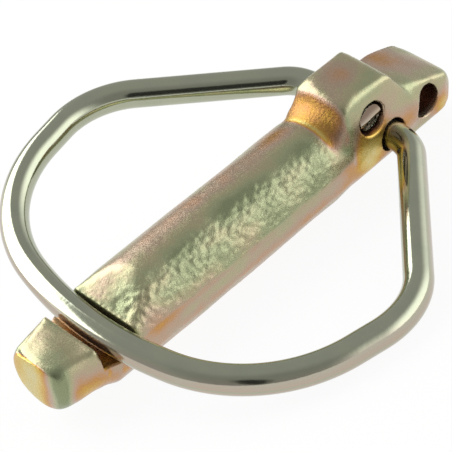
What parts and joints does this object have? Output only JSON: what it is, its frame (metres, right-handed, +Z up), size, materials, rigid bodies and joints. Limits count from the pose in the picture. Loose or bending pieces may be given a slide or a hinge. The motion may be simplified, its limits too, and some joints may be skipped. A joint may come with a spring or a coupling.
{
  "type": "wire lock pin",
  "caption": "Forged round pin with a drilled stepped head and a sprung wire bow that swings over the nose into a cross slot.",
  "frame": {"origin": "on the shank's axis, at the foot of the shoulder in front of the head", "axes": "+X along the shank to the nose, +Z up from the ground that the pin lies on, +Y across, towards the side of the bow that touches the ground"},
  "size_m": [0.0703, 0.0557, 0.0183],
  "materials": {
    "plated_forging": "forged and hammered steel, yellow passivated zinc plating with rose, gold and green tints",
    "plated_wire": "smooth drawn spring wire, yellow passivated zinc plating, glossy"
  },
  "bodies": {
    "pin": {"forged_pin": "plated_forging"},
    "bow": {"wire_bow": "plated_wire"}
  },
  "joints": [
    {"name": "bow_pivot", "type": "hinge", "parent": "pin", "child": "bow", "pos_m": [-0.0092, 0.00062, 0.00221], "axis": [0, -0.963, 0.2694], "range_deg": [0, 180], "stiffness_Nm_per_rad": 0.05, "springref_deg": -57.3, "deforming": ["wire_bow"]}
  ]
}
